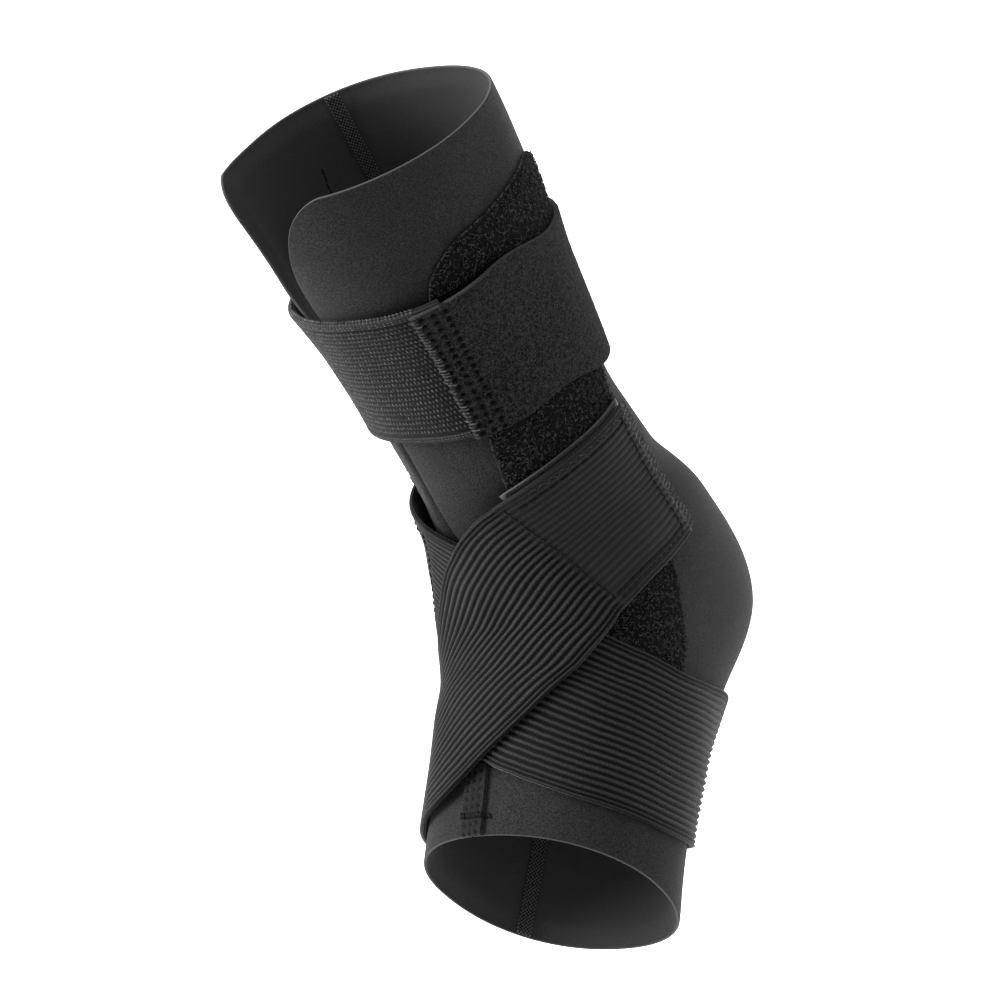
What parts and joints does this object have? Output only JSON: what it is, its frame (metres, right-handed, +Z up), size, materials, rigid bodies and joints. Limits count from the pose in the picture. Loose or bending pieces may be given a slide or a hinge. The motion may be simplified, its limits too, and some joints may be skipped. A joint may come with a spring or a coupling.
{
  "type": "ankle brace",
  "caption": "Open-toed sleeve slit down the front of the leg, with loop patches, two ribbed elastic straps crossed over the instep and a knitted elastic strap round the calf.",
  "frame": {"origin": "the centre of the wearer's ankle, where the leg's axis and the foot's axis cross inside the sleeve", "axes": "+Z up along the leg, -Y towards the toes, +X towards the outer side of the ankle"},
  "size_m": [0.0825, 0.1503, 0.2592],
  "materials": {
    "neoprene": "fine-grained charcoal neoprene faced with thin jersey, dull",
    "seam_thread": "black flatlock stitching",
    "seam_tape": "black woven tape",
    "loop_pile": "near-black curly loop pile",
    "hook_tab": "black moulded hook tape",
    "ribbed_elastic": "black elastic webbing with lengthwise ribs",
    "knit_elastic": "black open-knit elastic with light flecks",
    "tab_fabric": "charcoal brushed loop fabric"
  },
  "bodies": {
    "root": {"outer_panel": "neoprene", "inner_panel": "neoprene", "instep_seam": "seam_thread", "rear_seam": "seam_tape", "outer_loop_patch": "loop_pile", "inner_loop_patch": "loop_pile", "lower_strap_tab": "hook_tab", "lower_strap": "ribbed_elastic", "upper_strap_tab": "hook_tab", "upper_strap": "ribbed_elastic", "calf_strap_knit": "knit_elastic", "calf_strap_tab": "tab_fabric"}
  },
  "joints": []
}
